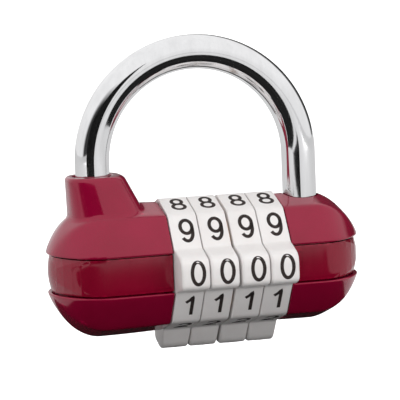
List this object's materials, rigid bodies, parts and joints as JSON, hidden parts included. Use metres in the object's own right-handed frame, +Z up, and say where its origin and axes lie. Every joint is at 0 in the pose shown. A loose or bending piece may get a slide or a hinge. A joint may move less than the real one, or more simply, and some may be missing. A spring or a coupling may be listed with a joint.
{
  "type": "combination padlock",
  "caption": "Combination padlock: wide red barrel casing, white number dials with finger levers, round steel shackle with a captive heel and a toe that pulls out.",
  "frame": {"origin": "the shackle bow's inside crown, where the lock hangs", "axes": "+X along the dial axis towards the toe side, -Y to the front (the code row), +Z up along the shackle legs"},
  "size_m": [0.0603, 0.0295, 0.0599],
  "materials": {
    "red_lacquer": "glossy dark red lacquer",
    "red_band": "glossy dark red lacquer",
    "dial_white": "satin moulded plastic with dark printed digits",
    "chrome": "polished plating",
    "steel": "bright machined",
    "spring_steel": "drawn wire and strip",
    "brass": "machined",
    "acetal": "natural acetal"
  },
  "bodies": {
    "casing": {"left_frame": "red_band", "left_upper_cover": "red_lacquer", "left_lower_cover": "red_lacquer", "right_frame": "red_band", "right_upper_cover": "red_lacquer", "right_lower_cover": "red_lacquer", "core_tube": "steel", "dial_washer_1": "acetal", "dial_washer_2": "acetal", "centre_spacer": "acetal", "dial_washer_3": "acetal", "dial_washer_4": "acetal", "detent_spring": "spring_steel", "left_core_screw": "steel", "right_core_screw": "steel", "heel_pin": "steel", "spring_seat": "steel", "shackle_spring": "spring_steel"},
    "dial_body_1": {"dial_1": "dial_white", "code_sleeve_1": "brass"},
    "dial_body_2": {"dial_2": "dial_white", "code_sleeve_2": "brass"},
    "dial_body_3": {"dial_3": "dial_white", "code_sleeve_3": "brass"},
    "dial_body_4": {"dial_4": "dial_white", "code_sleeve_4": "brass"},
    "spindle_body": {"spindle": "steel", "latch_bolt": "steel", "spindle_spring": "spring_steel"},
    "shackle_body": {"shackle": "chrome"}
  },
  "joints": [
    {"name": "dial_1_turn", "type": "hinge", "parent": "casing", "child": "dial_body_1", "pos_m": [-0.00511, 0, -0.0366], "axis": [1, 0, 0], "continuous": true},
    {"name": "dial_2_turn", "type": "hinge", "parent": "casing", "child": "dial_body_2", "pos_m": [0.00046, 0, -0.0366], "axis": [1, 0, 0], "continuous": true},
    {"name": "dial_3_turn", "type": "hinge", "parent": "casing", "child": "dial_body_3", "pos_m": [0.00634, 0, -0.0366], "axis": [1, 0, 0], "continuous": true},
    {"name": "dial_4_turn", "type": "hinge", "parent": "casing", "child": "dial_body_4", "pos_m": [0.01191, 0, -0.0366], "axis": [1, 0, 0], "continuous": true},
    {"name": "shackle_lift", "type": "slide", "parent": "casing", "child": "shackle_body", "axis": [0, 0, 1], "range_m": [0, 0.0088], "deforming": ["shackle_spring"]},
    {"name": "spindle_slide", "type": "slide", "parent": "casing", "child": "spindle_body", "axis": [1, 0, 0], "range_m": [0, 0.0026]}
  ],
  "couplings": [
    {"joint": "spindle_slide", "follows": "shackle_lift", "ratio": 0.2955}
  ]
}
